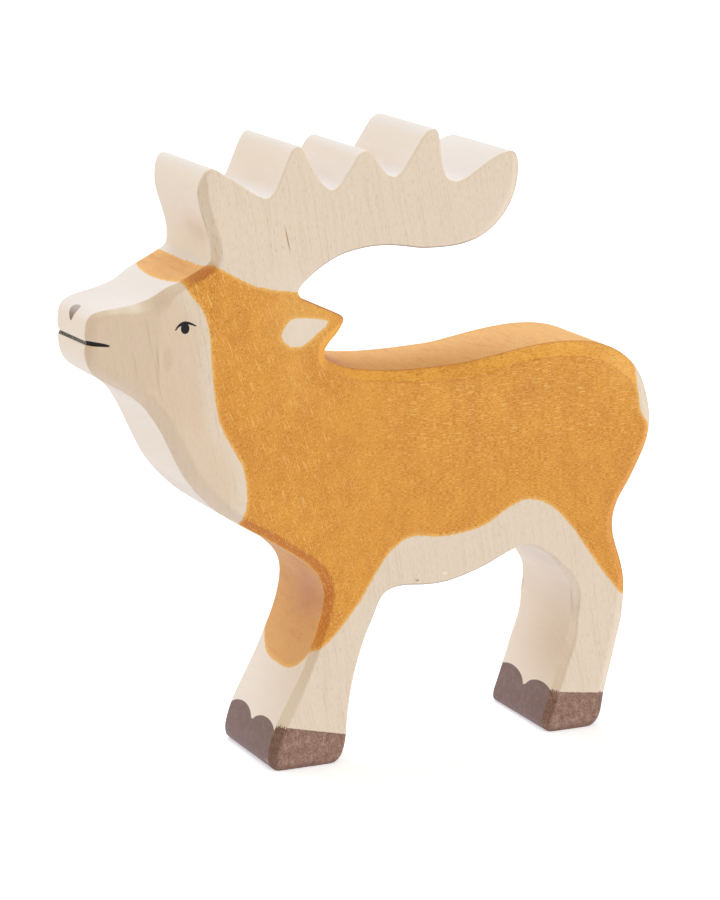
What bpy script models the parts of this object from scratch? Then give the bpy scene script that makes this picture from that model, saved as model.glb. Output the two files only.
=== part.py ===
"""A small standing deer with broad antlers, sawn from one board of pale wood and cut by hand.

The side view is one closed outline. The board is sawn square to its faces along that outline,
then chamfers of different widths are cut along both faces, and the head is thinned towards the
muzzle. X runs from the muzzle to the tail, Z is up, and the board's thickness lies along Y.
The origin is on the floor, under the middle of the figure.
"""
import math

import bmesh
import bpy
from mathutils import Vector
from mathutils.geometry import delaunay_2d_cdt

MM = 0.001

# Driving dimensions
HEIGHT = 148.8 * MM
BOARD = 30.0 * MM
MUZZLE_THICKNESS = 20.5 * MM

# Chamfers: how far each one reaches in from the outline, and how far down from the board's face
EDGE_EASE = 0.35 * MM
CHEST_CHAMFER = (2.1 * MM, 1.9 * MM)
THROAT_CHAMFER = (2.8 * MM, 2.0 * MM)
MUZZLE_CHAMFER = (1.6 * MM, 1.5 * MM)
BROW_CHAMFER = (2.9 * MM, 2.0 * MM)
CROWN_CHAMFER = (1.9 * MM, 1.6 * MM)
ANTLER_FRONT_CHAMFER = (1.9 * MM, 1.4 * MM)
ANTLER_REAR_CHAMFER = (2.5 * MM, 2.0 * MM)
EAR_CHAMFER = (2.9 * MM, 2.0 * MM)
EAR_TIP_CHAMFER = (1.3 * MM, 1.2 * MM)
NAPE_CHAMFER = (2.4 * MM, 2.2 * MM)
BACK_CHAMFER = (3.0 * MM, 2.7 * MM)
RUMP_CHAMFER = (3.6 * MM, 2.2 * MM)
TAIL_CHAMFER = (2.2 * MM, 1.6 * MM)
HOCK_CHAMFER = (2.4 * MM, 1.6 * MM)
LEG_FRONT_CHAMFER = (1.7 * MM, 1.9 * MM)
HIND_FRONT_CHAMFER = (1.1 * MM, 2.4 * MM)

# The top of the head falls away towards the deer's left side, by this much at that side
NOSE_FALL = 0.8 * MM
BROW_FALL = 1.2 * MM

# How finely the outline is followed: the longest step, and the largest turn in one step
STEP = 4.0 * MM
TURN = math.radians(15)
HEAD_GRID = 5.0 * MM
SHARP_ANGLE = math.radians(25)
MERGE_DISTANCE = 1e-7

WOOD_COLOUR = (0.72, 0.56, 0.40, 1.0)
WOOD_ROUGHNESS = 0.62

# Shares of the height: how far behind the muzzle the head begins to thin, and the heights
# between which the thinning fades in at the jaw
HEAD_REACH = 0.2
JAW_LOW = 0.54
JAW_HIGH = 0.63
TAPER_POWER = 1.2

# Shares: where a chamfer bends on its way to the face, and the part of a fall reached halfway
CHAMFER_BULGE = 0.42
FALL_BY_MIDDLE = 0.35

EASED = (EDGE_EASE, EDGE_EASE)

# The outline, drawn with x from the toe of the fore hoof towards the tail and z from the floor.
# Each stretch: its chamfer, how far its edge falls at the left side, whether it starts at a
# sharp corner, and its knots, in order round the figure with the wood on the right. The knots
# are in millimetres at the first height drawn, and are scaled to the height wanted.
STRETCHES = (
    # fore sole, from heel to toe
    (EASED, 0.0, True, ((14.2, 0.0),)),
    (EASED, 0.0, True, ((1.0, 0.0),)),
    # fore hoof and the front of the fore leg
    (LEG_FRONT_CHAMFER, 0.0, False, (
        (0.0, 0.7), (-0.7, 2.6), (-0.5, 4.8), (0.2, 7.2), (1.4, 10.1), (5.0, 17.0), (8.1, 23.0),
        (10.6, 29.0), (12.7, 35.0), (13.6, 39.2))),
    # brisket and chest
    (CHEST_CHAMFER, 0.0, False, (
        (13.6, 42.6), (12.4, 45.6), (9.9, 48.4), (6.0, 51.5), (0.7, 55.0), (-6.8, 59.6))),
    # throat
    (THROAT_CHAMFER, 0.0, False, (
        (-12.0, 63.0), (-16.8, 67.5), (-20.5, 72.1), (-23.8, 78.4), (-25.9, 83.0),
        (-28.2, 87.1))),
    # jaw and chin
    (MUZZLE_CHAMFER, 0.0, False, (
        (-30.3, 90.0), (-32.8, 92.1), (-36.8, 94.6), (-39.0, 96.0), (-40.8, 97.5),
        (-42.0, 99.5))),
    # lips, with the mouth pinched in a little, and the end of the nose
    (MUZZLE_CHAMFER, 0.0, False, (
        (-42.6, 102.0), (-42.6, 103.7), (-42.3, 104.6), (-42.6, 105.5), (-42.6, 108.2))),
    (MUZZLE_CHAMFER, 0.5 * NOSE_FALL, False, (
        (-42.2, 110.2), (-41.1, 111.5), (-39.0, 112.4))),
    # bridge of the nose and the brow
    (MUZZLE_CHAMFER, NOSE_FALL, False, ((-36.0, 113.0), (-32.6, 113.6))),
    (BROW_CHAMFER, BROW_FALL, False, ((-30.1, 114.3), (-27.9, 115.1), (-26.3, 116.0))),
    (CROWN_CHAMFER, NOSE_FALL, False, ((-24.9, 116.9), (-22.6, 117.9), (-18.5, 119.7))),
    # hollow where the antler rises from the head
    (CROWN_CHAMFER, 0.5 * NOSE_FALL, False, ((-15.9, 120.9), (-14.4, 121.9))),
    # front of the antler and the first point
    (ANTLER_FRONT_CHAMFER, 0.0, False, (
        (-13.9, 124.0), (-14.2, 127.2), (-15.2, 130.6), (-16.3, 134.2), (-16.8, 137.0),
        (-16.6, 139.5))),
    (EASED, 0.0, False, (
        (-15.9, 141.6), (-14.7, 142.9), (-13.2, 142.8), (-10.9, 141.4), (-7.2, 139.1),
        (-4.0, 136.9), (-2.3, 135.9), (-0.6, 135.5), (0.9, 136.3))),
    # second point
    (EASED, 0.0, False, (
        (2.3, 138.8), (4.0, 142.7), (5.2, 145.2), (6.2, 146.5), (7.3, 146.8), (8.4, 145.9),
        (9.7, 143.4), (11.6, 140.2), (13.6, 137.4), (15.2, 136.4), (16.8, 136.9))),
    # third point
    (EASED, 0.0, False, (
        (18.6, 139.1), (21.0, 142.4), (22.3, 144.2), (23.7, 144.8), (25.1, 144.4),
        (26.5, 142.8), (28.3, 140.1), (29.5, 138.8), (31.0, 138.4), (32.5, 139.1))),
    # fourth point
    (EASED, 0.0, False, (
        (34.4, 141.6), (36.8, 145.2), (38.3, 147.3), (39.7, 148.5), (41.2, 148.8),
        (42.2, 148.0), (42.7, 145.8), (43.2, 142.1), (43.8, 139.2), (44.7, 137.1),
        (46.2, 136.4), (48.4, 136.7))),
    # fifth point
    (EASED, 0.0, False, (
        (51.5, 138.4), (55.3, 140.8), (58.2, 142.2), (60.4, 142.6))),
    # rear edge of the antler
    (ANTLER_REAR_CHAMFER, 0.0, False, (
        (62.4, 141.8), (63.5, 139.9), (63.7, 136.5), (63.0, 132.8), (61.0, 128.8),
        (57.8, 125.3), (53.6, 122.8))),
    # underside of the antler, down to the notch above the ear
    (EASED, 0.0, False, (
        (48.5, 121.5), (42.5, 121.1), (37.7, 121.3), (32.4, 122.2), (27.0, 122.6),
        (22.3, 122.2), (17.3, 121.0), (12.8, 118.7), (9.6, 116.4), (7.8, 114.6),
        (7.1, 113.1))),
    # upper edge of the ear
    (EASED, 0.0, True, ((7.7, 112.0),)),
    (EASED, 0.0, False, ((12.3, 109.8), (16.8, 107.7))),
    # tip and lower edge of the ear
    (EASED, 0.0, False, ((18.2, 106.8),)),
    (EAR_TIP_CHAMFER, 0.0, False, ((18.6, 105.9), (18.1, 104.4))),
    (EAR_CHAMFER, 0.0, False, ((17.2, 102.8), (15.8, 101.3), (14.7, 99.8), (14.1, 98.4))),
    # nape
    (NAPE_CHAMFER, 0.0, False, ((14.6, 97.0), (17.2, 95.5), (21.3, 94.1), (26.6, 93.2))),
    # back
    (BACK_CHAMFER, 0.0, False, (
        (34.1, 92.6), (44.0, 92.6), (52.2, 93.1), (60.1, 94.2), (67.5, 95.3), (75.0, 95.9))),
    (RUMP_CHAMFER, 0.0, False, (
        (81.8, 95.5), (87.2, 94.2), (91.6, 92.0), (95.2, 88.7), (97.7, 84.5))),
    # tail end and the hollow below it
    (TAIL_CHAMFER, 0.0, False, (
        (99.2, 79.4), (99.7, 75.0), (99.2, 71.2), (97.4, 66.5), (94.4, 60.9), (91.4, 56.2))),
    # hock and the back of the hind leg
    (HOCK_CHAMFER, 0.0, False, (
        (90.0, 51.8), (90.1, 47.4), (91.7, 42.0), (93.0, 37.0), (93.3, 32.4), (92.7, 27.0),
        (91.3, 20.6), (89.4, 13.0), (87.9, 7.2))),
    # hind hoof
    (EASED, 0.0, False, ((87.3, 4.6), (86.4, 2.2), (85.2, 0.8), (83.8, 0.15))),
    (EASED, 0.0, True, ((82.6, 0.0),)),
    (EASED, 0.0, True, ((72.7, 0.0),)),
    # front of the hind leg
    (HIND_FRONT_CHAMFER, 0.0, False, (
        (71.7, 0.7), (71.4, 2.2), (71.8, 3.9), (72.7, 6.5), (74.3, 11.2), (76.5, 17.2),
        (78.2, 22.4), (79.1, 27.4), (79.4, 32.0), (78.9, 35.6), (77.2, 38.8), (74.4, 42.0),
        (70.9, 45.2), (68.2, 46.8))),
    # belly
    (EASED, 0.0, False, (
        (65.6, 47.4), (62.5, 46.8), (56.3, 44.3), (50.0, 42.2), (44.6, 41.0), (38.6, 40.9),
        (33.3, 41.3), (30.4, 40.9), (28.4, 39.8), (27.2, 38.0))),
    # back of the fore leg
    (EASED, 0.0, False, (
        (25.9, 35.0), (24.0, 30.9), (21.6, 23.9), (20.0, 17.3), (19.2, 12.0), (18.8, 7.4),
        (18.3, 4.2), (17.4, 1.7), (16.4, 0.6), (15.3, 0.1))),
)

KNOT_PLACES = [place for stretch in STRETCHES for place in stretch[3]]
SCALE = HEIGHT / max(z for x, z in KNOT_PLACES)
MUZZLE_X = SCALE * min(x for x, z in KNOT_PLACES)


def drawn_knots():
    """Every knot as (x, z, chamfer width, chamfer depth, fall, corner), in metres."""
    knots = []
    for (width, depth), fall, corner, points in STRETCHES:
        for index, (x, z) in enumerate(points):
            sharp = corner and index == 0
            knots.append((x * SCALE, z * SCALE, width, depth, fall, sharp))
    return knots


def tangent(before, here, after):
    """Direction of a smooth curve at a knot, weighed by the distances to its neighbours."""
    reach_in = (here - before).length
    reach_out = (after - here).length
    return (after - here) * (reach_in / reach_out) + (here - before) * (reach_out / reach_in)


def sampled_outline():
    """Points along the outline, each as (place, chamfer width, chamfer depth, fall)."""
    knots = drawn_knots()
    count = len(knots)
    places = [Vector((knot[0], knot[1])) for knot in knots]
    samples = []
    for i in range(count):
        j = (i + 1) % count
        start = places[i]
        end = places[j]
        chord = (end - start).length
        leave = end - start
        if not knots[i][5]:
            leave = tangent(places[i - 1], start, end)
        arrive = end - start
        if not knots[j][5]:
            arrive = tangent(start, end, places[(j + 1) % count])
        leave = leave.normalized() * chord
        arrive = arrive.normalized() * chord
        turned = leave.angle(arrive)
        steps = max(1, math.ceil(chord / STEP), math.ceil(turned / TURN))
        for step in range(steps):
            t = step / steps
            bend_a = t * (1 - t) * (1 - t)
            bend_b = t * t * (t - 1)
            blend = t * t * (3 - 2 * t)
            place = start.lerp(end, blend) + leave * bend_a + arrive * bend_b
            sizes = [a + (b - a) * t for a, b in zip(knots[i][2:5], knots[j][2:5])]
            samples.append((place, *sizes))
    return samples


def half_thickness(x, z):
    """Half of the wood's thickness: the full board, thinned along the head to the muzzle."""
    along = 1 - (x - MUZZLE_X) / (HEAD_REACH * HEIGHT)
    along = min(max(along, 0.0), 1.0)
    up = (z / HEIGHT - JAW_LOW) / (JAW_HIGH - JAW_LOW)
    up = min(max(up, 0.0), 1.0)
    share = along ** TAPER_POWER * up * up * (3 - 2 * up)
    return 0.5 * BOARD - 0.5 * (BOARD - MUZZLE_THICKNESS) * share


def inward(samples, index):
    """Unit normal of the outline at a sample, pointing into the wood."""
    before = samples[index - 1][0]
    here = samples[index][0]
    after = samples[(index + 1) % len(samples)][0]
    along = (here - before).normalized() + (after - here).normalized()
    return Vector((along.y, -along.x)).normalized()


def edge_rows(samples, side):
    """Rings from the sawn edge to one face of the board, as lists of (place, depth from face)."""
    rows = [[], [], []]
    for index, (place, width, depth, fall) in enumerate(samples):
        normal = inward(samples, index)
        edge = place + normal * (fall if side < 0 else 0.0)
        rows[0].append((edge, depth))
        rows[1].append((edge + normal * (CHAMFER_BULGE * width), CHAMFER_BULGE * depth))
        rows[2].append((edge + normal * width, 0.0))
    return rows


def middle_row(samples):
    """The ring that runs round the sawn edge halfway through the board."""
    return [s[0] + inward(samples, i) * (FALL_BY_MIDDLE * s[3]) for i, s in enumerate(samples)]


def is_inside(point, ring):
    """Whether a point of the side view lies inside a closed ring of points."""
    hit = False
    for index, here in enumerate(ring):
        before = ring[index - 1]
        if (here.y > point.y) != (before.y > point.y):
            crossing = here.x + (point.y - here.y) * (before.x - here.x) / (before.y - here.y)
            if point.x < crossing:
                hit = not hit
    return hit


def head_points(ring):
    """A grid of points over the head, so that its thinned face follows a curve."""
    points = []
    columns = math.ceil(HEAD_REACH * HEIGHT / HEAD_GRID)
    lines = math.ceil((1 - JAW_LOW) * HEIGHT / HEAD_GRID)
    for column in range(columns + 1):
        for line in range(lines):
            x = MUZZLE_X + (column + 0.5 * (line % 2)) * HEAD_GRID
            point = Vector((x, JAW_LOW * HEIGHT + line * HEAD_GRID))
            clear = min((point - other).length for other in ring)
            if clear > 0.5 * HEAD_GRID and is_inside(point, ring):
                points.append(point)
    return points


def wood_material():
    """Pale, bare, finely sanded wood."""
    material = bpy.data.materials.new("pale_wood")
    material.use_nodes = True
    shader = material.node_tree.nodes["Principled BSDF"]
    shader.inputs["Base Color"].default_value = WOOD_COLOUR
    shader.inputs["Roughness"].default_value = WOOD_ROUGHNESS
    shader.inputs["Metallic"].default_value = 0.0
    return material


def make_deer():
    """The whole figure as one closed solid."""
    samples = sampled_outline()
    count = len(samples)
    middle = 0.5 * (min(s[0].x for s in samples) + max(s[0].x for s in samples))
    mesh = bmesh.new()

    def add_vertex(place, y):
        return mesh.verts.new((place.x - middle, y, place.y))

    def add_face_vertex(place, from_face, side):
        return add_vertex(place, side * (half_thickness(place.x, place.y) - from_face))

    rows = {side: edge_rows(samples, side) for side in (-1, 1)}
    rings = {}
    for side in (-1, 1):
        rings[side] = [[add_face_vertex(place, gap, side) for place, gap in row]
                       for row in rows[side]]
    centre = [add_vertex(place, 0.0) for place in middle_row(samples)]
    strips = rings[-1][::-1] + [centre] + rings[1]
    for lower, upper in zip(strips, strips[1:]):
        for i in range(count):
            j = (i + 1) % count
            mesh.faces.new((lower[i], lower[j], upper[j], upper[i]))

    for side in (-1, 1):
        ring = [place for place, gap in rows[side][2]]
        flat = ring + head_points(ring)
        filled = delaunay_2d_cdt(flat, [], [list(range(count))], 1, MERGE_DISTANCE)
        corners = []
        for place, sources in zip(filled[0], filled[3]):
            on_ring = sources[0] < count
            corners.append(rings[side][2][sources[0]] if on_ring
                           else add_face_vertex(place, 0.0, side))
        for face in filled[2]:
            mesh.faces.new([corners[index] for index in face])

    bmesh.ops.recalc_face_normals(mesh, faces=mesh.faces)
    bmesh.ops.triangulate(mesh, faces=mesh.faces)
    data = bpy.data.meshes.new("deer")
    mesh.to_mesh(data)
    mesh.free()
    data.shade_smooth()
    data.set_sharp_from_angle(angle=SHARP_ANGLE)
    deer = bpy.data.objects.new("deer", data)
    deer.data.materials.append(wood_material())
    bpy.context.scene.collection.objects.link(deer)
    return deer


def main():
    for old in list(bpy.data.objects):
        bpy.data.objects.remove(old)
    make_deer()


main()
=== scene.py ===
"""The finished look of a small standing deer, sawn from one board of maple and cut by hand.

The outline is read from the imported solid. Along it the edge of the board is made again at a finer
step, with the knife's chamfers, softened edges and the mouth line. The coat, hooves, eye and nose
are painted by signed distances kept on the mesh. Lengths are in millimetres on the drawing of the
side view, whose x starts at the toe of the fore hoof and whose z starts at the floor.
"""
import math

import bpy
import numpy as np
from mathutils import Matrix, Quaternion, Vector
from mathutils.geometry import delaunay_2d_cdt


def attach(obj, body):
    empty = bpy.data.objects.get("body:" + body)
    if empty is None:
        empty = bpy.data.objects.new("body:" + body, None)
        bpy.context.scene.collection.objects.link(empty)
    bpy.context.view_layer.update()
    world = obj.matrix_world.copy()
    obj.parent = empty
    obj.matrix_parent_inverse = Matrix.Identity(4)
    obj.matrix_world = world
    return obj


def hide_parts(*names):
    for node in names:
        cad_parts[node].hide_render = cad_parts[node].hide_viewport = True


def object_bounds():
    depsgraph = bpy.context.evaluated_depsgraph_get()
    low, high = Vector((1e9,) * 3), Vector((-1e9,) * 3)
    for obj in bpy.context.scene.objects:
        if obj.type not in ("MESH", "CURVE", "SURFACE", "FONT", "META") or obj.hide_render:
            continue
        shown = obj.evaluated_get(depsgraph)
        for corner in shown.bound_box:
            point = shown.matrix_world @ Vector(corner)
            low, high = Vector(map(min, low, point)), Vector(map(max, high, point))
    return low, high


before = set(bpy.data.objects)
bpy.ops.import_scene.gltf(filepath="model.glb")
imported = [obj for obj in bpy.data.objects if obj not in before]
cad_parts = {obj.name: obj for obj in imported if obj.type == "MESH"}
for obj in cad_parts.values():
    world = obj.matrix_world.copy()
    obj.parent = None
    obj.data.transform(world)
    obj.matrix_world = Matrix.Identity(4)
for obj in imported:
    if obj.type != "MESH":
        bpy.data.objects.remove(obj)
SOLID_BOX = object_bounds()

MM = 0.001
NODE = "deer"
FAR = 1000.0

# The drawing's frame, and the board
MUZZLE_REACH = 42.72
TOE_X = SOLID_BOX[0][0] / MM + MUZZLE_REACH
HEIGHT = round(SOLID_BOX[1][2] / MM, 1)
HALF_BOARD = round(SOLID_BOX[1][1] / MM, 2)
HALF_MUZZLE = 10.25
HEAD_REACH = 0.2 * HEIGHT
JAW_LOW = 0.54 * HEIGHT
JAW_HIGH = 0.63 * HEIGHT
TAPER_POWER = 1.2

# Reading the solid's edge: its right half's corners lie past this, and stay sharp from this turn
MIDWAY = 0.1
CORNER_TURN = math.radians(28)

# How finely the outline is followed: the curve's own step, then the widest and the closest step
# between places, and these as a share of the turn's radius
DENSE = 0.05
COARSE = 0.85
FINE = 0.24
STEP_OF_RADIUS = 0.3
STEP_BLEND = 0.6
TURN_SPAN = 4
ROW_STEP = 1.1

# How softly corners and creases run, and the creases softer still on the head
CORNER_SOFT = 0.16
EDGE_SOFT = 0.14
CREASE_SOFT = 0.4
HEAD_SOFT = 0.5
HEAD_BACK = (-6.0, -14.0)
HEAD_TOP = (118.5, 115.0)
CREASE_MOST = 0.8
CHAMFER_BULGE = 0.48
SUPPORT = 0.13

# How rings that fold over at tight turns are mended
FOLD_ROUNDS = 60
FOLD_LEAST = 0.12
FOLD_PULL = 0.6

# Places round the outline, each with the chamfer's width and depth there and how far the edge
# falls at the left side
CUTS = (
    (14.2, 0.0, 0.35, 0.35, 0.0), (1.0, 0.0, 0.35, 0.35, 0.0), (0.0, 0.7, 1.5, 1.8, 0.0),
    (-0.5, 4.8, 1.7, 1.9, 0.0), (5.0, 17.0, 1.8, 1.9, 0.0), (8.1, 23.0, 1.5, 1.8, 0.0),
    (10.6, 29.0, 1.7, 1.9, 0.0), (12.7, 35.0, 1.9, 2.0, 0.0), (13.6, 42.6, 2.2, 1.9, 0.0),
    (9.9, 48.4, 2.0, 1.8, 0.0), (0.7, 55.0, 2.1, 1.9, 0.0), (-6.8, 59.6, 2.3, 2.0, 0.0),
    (-12.0, 63.0, 2.7, 2.0, 0.0), (-20.5, 72.1, 2.8, 2.0, 0.0), (-25.9, 83.0, 2.8, 2.1, 0.0),
    (-28.2, 87.1, 2.4, 1.9, 0.0), (-32.8, 92.1, 1.7, 1.6, 0.0), (-40.8, 97.5, 1.6, 1.5, 0.0),
    (-42.6, 102.0, 1.6, 1.5, 0.0), (-42.6, 108.2, 1.6, 1.5, 0.2), (-42.2, 110.2, 1.6, 1.5, 0.4),
    (-39.0, 112.4, 1.5, 1.5, 0.6), (-36.0, 113.0, 1.6, 1.6, 0.8), (-32.6, 113.6, 2.4, 1.8, 0.9),
    (-30.1, 114.3, 3.0, 2.0, 1.2), (-27.9, 115.1, 3.1, 2.1, 1.2), (-26.3, 116.0, 2.7, 1.9, 1.1),
    (-24.9, 116.9, 2.1, 1.7, 0.9), (-22.6, 117.9, 1.9, 1.6, 0.8), (-18.5, 119.7, 2.0, 1.7, 0.7),
    (-15.9, 120.9, 1.9, 1.6, 0.4), (-14.4, 121.9, 1.9, 1.5, 0.2), (-13.9, 124.0, 1.9, 1.4, 0.0),
    (-15.2, 130.6, 1.8, 1.4, 0.0), (-16.8, 137.0, 1.9, 1.4, 0.0), (-16.6, 139.5, 1.7, 1.3, 0.0),
    (-15.9, 141.6, 0.6, 0.5, 0.0), (-14.7, 142.9, 0.35, 0.35, 0.0),
    (60.4, 142.6, 0.35, 0.35, 0.0), (62.4, 141.8, 1.3, 1.1, 0.0), (63.5, 139.9, 2.2, 1.8, 0.0),
    (63.7, 136.5, 2.6, 2.0, 0.0), (63.0, 132.8, 2.4, 2.0, 0.0), (61.0, 128.8, 2.4, 1.9, 0.0),
    (57.8, 125.3, 2.2, 1.7, 0.0), (53.6, 122.8, 1.5, 1.2, 0.0), (48.5, 121.5, 0.45, 0.4, 0.0),
    (42.5, 121.1, 0.35, 0.35, 0.0), (7.7, 112.0, 0.35, 0.35, 0.0), (18.2, 106.8, 0.35, 0.35, 0.0),
    (18.6, 105.9, 0.9, 0.9, 0.0), (18.1, 104.4, 1.5, 1.3, 0.0), (17.2, 102.8, 2.7, 1.9, 0.0),
    (14.1, 98.4, 2.9, 2.0, 0.0), (14.6, 97.0, 2.6, 2.2, 0.0), (26.6, 93.2, 2.5, 2.3, 0.0),
    (34.1, 92.6, 2.9, 2.6, 0.0), (52.2, 93.1, 3.1, 2.7, 0.0), (67.5, 95.3, 2.9, 2.7, 0.0),
    (81.8, 95.5, 3.5, 2.3, 0.0), (91.6, 92.0, 3.8, 2.2, 0.0), (97.7, 84.5, 3.0, 1.9, 0.0),
    (99.7, 75.0, 2.2, 1.6, 0.0), (94.4, 60.9, 2.2, 1.6, 0.0), (90.0, 51.8, 2.4, 1.6, 0.0),
    (93.0, 37.0, 2.4, 1.6, 0.0), (92.7, 27.0, 2.6, 1.6, 0.0), (87.9, 7.2, 2.3, 1.6, 0.0),
    (86.4, 2.2, 0.8, 0.7, 0.0), (83.8, 0.15, 0.35, 0.35, 0.0), (72.7, 0.0, 0.35, 0.35, 0.0),
    (71.7, 0.7, 0.9, 1.7, 0.0), (71.8, 3.9, 1.2, 2.3, 0.0), (74.3, 11.2, 1.2, 2.4, 0.0),
    (76.5, 17.2, 0.9, 2.2, 0.0), (78.2, 22.4, 1.2, 2.5, 0.0), (79.2, 28.4, 0.5, 2.3, 0.0),
    (79.3, 33.0, 1.1, 2.5, 0.0), (77.2, 38.8, 0.9, 2.0, 0.0), (74.4, 42.0, 0.6, 1.5, 0.0),
    (70.9, 45.2, 0.5, 1.2, 0.0), (65.6, 47.4, 0.4, 0.8, 0.0), (56.3, 44.3, 0.35, 0.35, 0.0),
)
KNIFE_STEP = (4.0, 11.0)
KNIFE_WAVER = 0.16
KNIFE_SEEDS = {-1: 5, 1: 11}
PLAIN_CHAMFER = 0.35
FULL_CUT = 1.5
CUT_BLEND = 1.2
FALL_BLEND = 3
FALL_POWER = 1.5

# How far each row from the sawn edge to the side counts as wall, as knife cut and as its rim
WALL_SHARE = (1.0, 1.0, 0.5, 0.0, 0.0, 0.0, 0.0, 0.0, 0.0, 0.0, 0.0)
CUT_SHARE = (0.0, 0.0, 0.5, 1.0, 1.0, 1.0, 1.0, 1.0, 0.5, 0.0, 0.0)
RIM_SHARE = (0.0, 0.6, 1.0, 0.9, 0.5, 0.0, 0.0, 0.0, 0.0, 0.0, 0.0)
PLAIN_RIM_SHARE = (0.0, 0.6, 1.0, 1.0, 1.0, 1.0, 0.9, 0.7, 0.4, 0.0, 0.0)

# The stained coat on the side view, running past the wood where the coat wraps over its edge
COAT = (
    (-21.5, 118.2), (-20.4, 117.0), (-19.5, 115.3), (-18.3, 113.6), (-17.1, 112.2),
    (-16.2, 110.5), (-15.5, 108.8), (-15.0, 106.7), (-14.6, 103.0), (-14.4, 98.5),
    (-14.2, 95.0), (-13.8, 91.0), (-13.3, 87.5), (-12.6, 84.4), (-11.6, 82.2), (-10.2, 79.7),
    (-8.7, 77.0), (-7.3, 74.5), (-6.6, 72.1), (-6.2, 69.7), (-6.1, 66.2), (-6.4, 63.9),
    (-7.2, 61.6), (-7.7, 60.2), (-9.0, 57.0), (-2.0, 50.0), (5.0, 44.0), (8.0, 38.0),
    (4.0, 29.0), (6.5, 26.6), (9.2, 27.2), (12.0, 28.3), (14.5, 30.1), (17.1, 32.7),
    (19.6, 35.6), (22.2, 38.7), (24.8, 42.7), (26.8, 45.9), (28.4, 48.1), (29.9, 49.9),
    (32.0, 51.5), (33.8, 52.6), (36.4, 53.1), (39.0, 52.8), (42.9, 52.2), (45.5, 52.2),
    (48.1, 52.5), (50.8, 52.8), (53.4, 53.4), (56.0, 54.4), (58.7, 56.0), (60.8, 57.3),
    (62.6, 58.1), (64.5, 58.8), (66.6, 58.9), (69.3, 58.3), (72.0, 56.8), (74.7, 54.6),
    (78.3, 50.5), (82.2, 44.9), (85.8, 39.9), (87.2, 38.1), (88.6, 36.4), (90.3, 34.2),
    (91.4, 32.9), (92.5, 32.3), (98.0, 31.0), (98.0, 60.0), (105.0, 72.0), (105.0, 92.0),
    (92.0, 102.0), (30.0, 100.0), (24.0, 103.0), (24.0, 112.0), (7.1, 113.4), (4.9, 113.8),
    (2.4, 114.1), (-0.1, 114.7), (-3.2, 115.4), (-8.1, 117.9), (-13.6, 121.2), (-16.1, 120.6),
    (-18.0, 124.0), (-30.0, 124.0),
)
# Areas, as least and most x then z, where the coat's edge runs lower across the sawn edge, and by
# how much at the middle of the board, below 0 where it runs higher
COAT_WRAPS = (
    (-FAR, 20.0, -FAR, 40.0, 5.1), (85.0, FAR, -FAR, 45.0, 4.0), (-FAR, 0.0, 50.0, 75.0, -3.0),
)
WRAP_HALF = 13.5
WRAP_POWER = 3.3
# On the forehead the coat's edge bulges forward
FOREHEAD = (-18.0, -21.0)
FOREHEAD_LOW = 112.0
FOREHEAD_BULGE = 2.9
FOREHEAD_HALF = 14.0
EAR_PATCH = (
    (5.3, 107.3), (7.3, 107.4), (9.8, 107.1), (12.3, 106.7), (14.3, 106.2), (13.8, 105.1),
    (12.3, 104.0), (11.0, 103.0), (9.8, 102.1), (8.5, 101.1), (7.3, 100.7), (5.3, 100.8),
    (4.0, 101.5), (3.1, 102.5), (2.7, 103.7), (3.6, 105.6), (4.6, 106.8),
)
TAIL_PATCH = (
    (95.3, 92.0), (95.4, 88.0), (95.5, 83.7), (95.8, 80.0), (96.2, 77.6), (96.9, 76.2),
    (98.0, 75.2), (98.8, 74.4), (99.1, 73.1), (99.4, 71.6), (106.0, 70.0), (106.0, 92.0),
)
# The nose mark, across the wood and up round the end of the nose
NOSE = (
    (-1.1, 5.7), (0.2, 5.8), (1.8, 5.1), (2.1, 4.4), (2.2, 3.1), (1.6, 1.9), (1.0, 0.8),
    (-0.1, 0.0), (-0.8, 0.9), (-1.3, 2.0), (-1.8, 3.1), (-1.9, 4.0), (-1.6, 5.3),
)
NOSE_PLACE = (-42.6, 108.2)
NOSE_AREA = (-FAR, -38.0, 106.0, FAR)
MOUTH = (
    (-45.0, 105.3), (-43.2, 105.25), (-41.45, 105.1), (-39.75, 104.8), (-38.52, 104.5),
    (-37.41, 104.09), (-37.73, 103.87), (-39.76, 104.04), (-41.47, 104.23), (-43.22, 104.48),
    (-45.0, 104.5),
)
# The mouth's height on the front and its slope across it, and where the front ends
MOUTH_ACROSS = (104.45, -0.024)
MOUTH_FRONT = -36.0
MOUTH_HALF = 0.40
MOUTH_SPREAD = 0.08
MOUTH_NEAR = 1.5
MOUTH_LEVEL = (2.6, 1.4)
MOUTH_LEVEL_FROM = -41.0
MOUTH_DEPTH = 0.2
MOUTH_EDGE = (-0.35, 0.3)
INK_AT_MOUTH = -30.0
LID = (
    (-22.68, 106.83), (-22.29, 107.56), (-21.74, 108.19), (-21.08, 108.6), (-20.38, 108.74),
    (-19.56, 108.57), (-18.75, 108.2), (-17.84, 107.61), (-18.06, 107.52), (-18.92, 107.9),
    (-19.57, 108.06), (-20.66, 108.15), (-21.42, 107.75), (-22.02, 107.44), (-22.46, 106.86),
)
LID_SPREAD = 0.06
PUPIL = (-20.4, 107.1, 0.98, 1.23)
# The hooves: x and height where the side's edge starts, its slope, the notch's height on the
# front, how far the two lobes rise, half of a lobe's width, and the x where the front ends
FORE_HOOF = (0.9, 11.0, -0.235, 7.7, 3.2, 7.0, 8.0)
HIND_HOOF = (73.0, 10.2, -0.14, 6.7, 4.0, 8.0, 80.0)
BETWEEN_LEGS = 40.0
# A distance for where a painted area has no part
OUTSIDE = -9.0

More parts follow.
